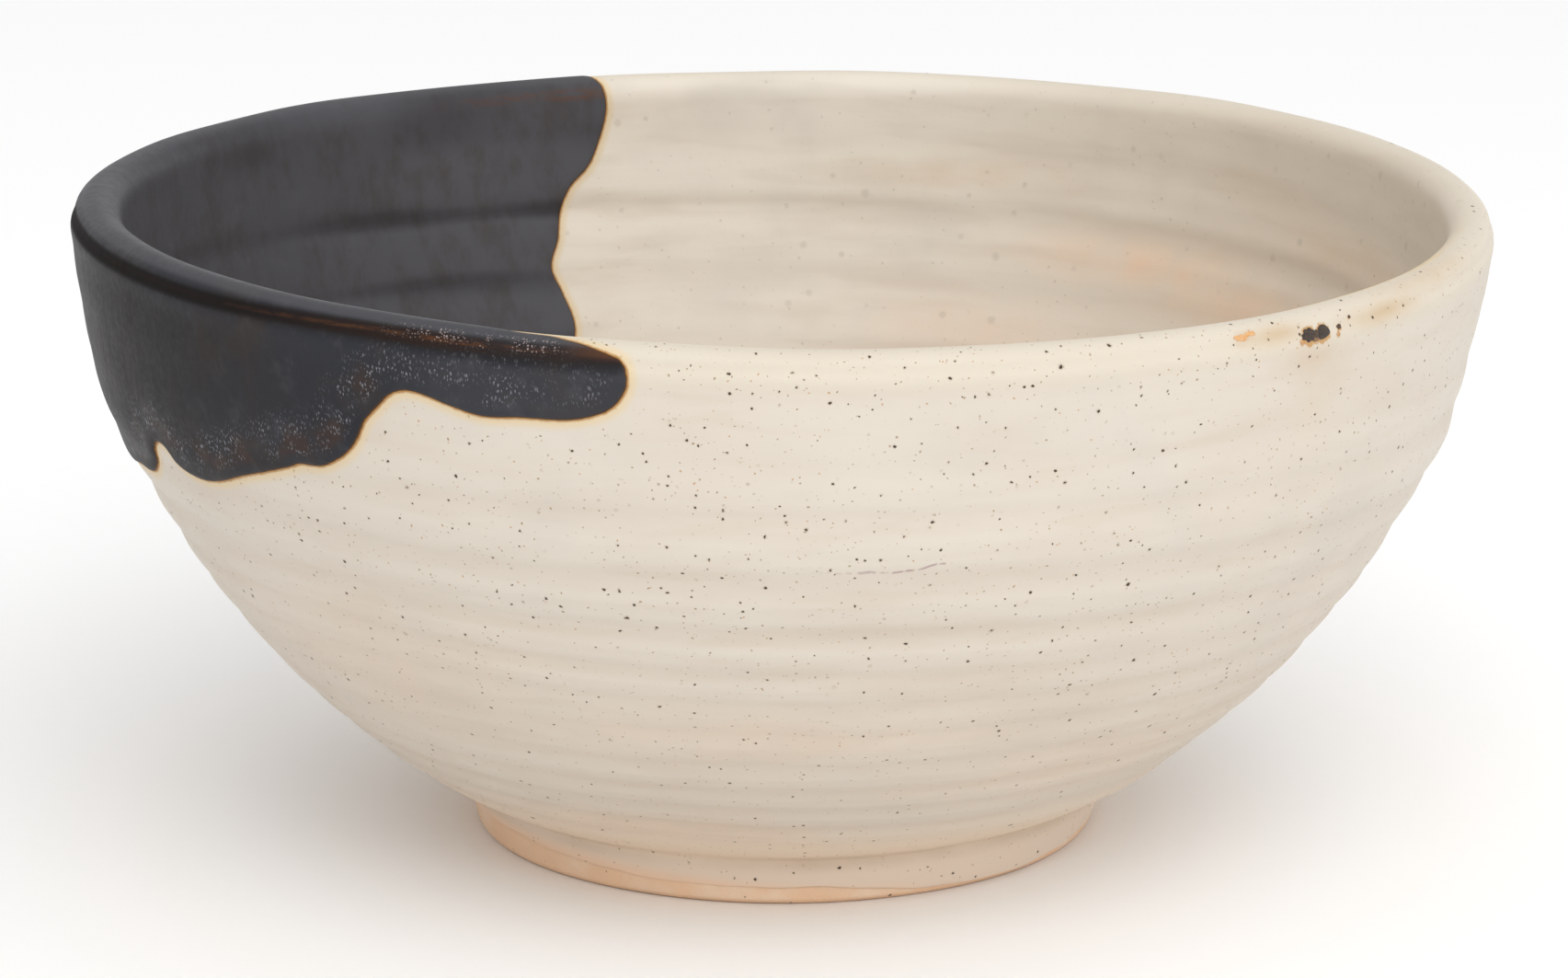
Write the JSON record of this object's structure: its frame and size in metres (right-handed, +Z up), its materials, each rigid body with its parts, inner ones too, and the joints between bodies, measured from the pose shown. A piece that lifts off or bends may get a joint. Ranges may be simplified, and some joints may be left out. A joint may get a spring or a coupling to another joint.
{
  "type": "matcha bowl",
  "caption": "Wheel-thrown matcha tea bowl on a low turned foot, cream glaze with a dark iron glaze poured over one side of the lip.",
  "frame": {"origin": "centre of the foot's base, where the bowl stands", "axes": "+Z up along the bowl's axis; -Y is the front of the bowl as it is shown; the dark glaze is on the -X side"},
  "size_m": [0.145, 0.145, 0.066],
  "materials": {
    "stoneware": "bare fired clay, matte, flashed orange",
    "cream_glaze": "satin matte, speckled with iron",
    "dark_glaze": "satin, rust breaks and fine crystals",
    "iron_spot": "melted iron, satin"
  },
  "bodies": {
    "root": {"thrown_bowl": "stoneware", "foot_ring": "stoneware", "inside_cream_glaze": "cream_glaze", "outside_cream_glaze": "cream_glaze", "dark_glaze": "dark_glaze", "iron_spots": "iron_spot"}
  },
  "joints": []
}
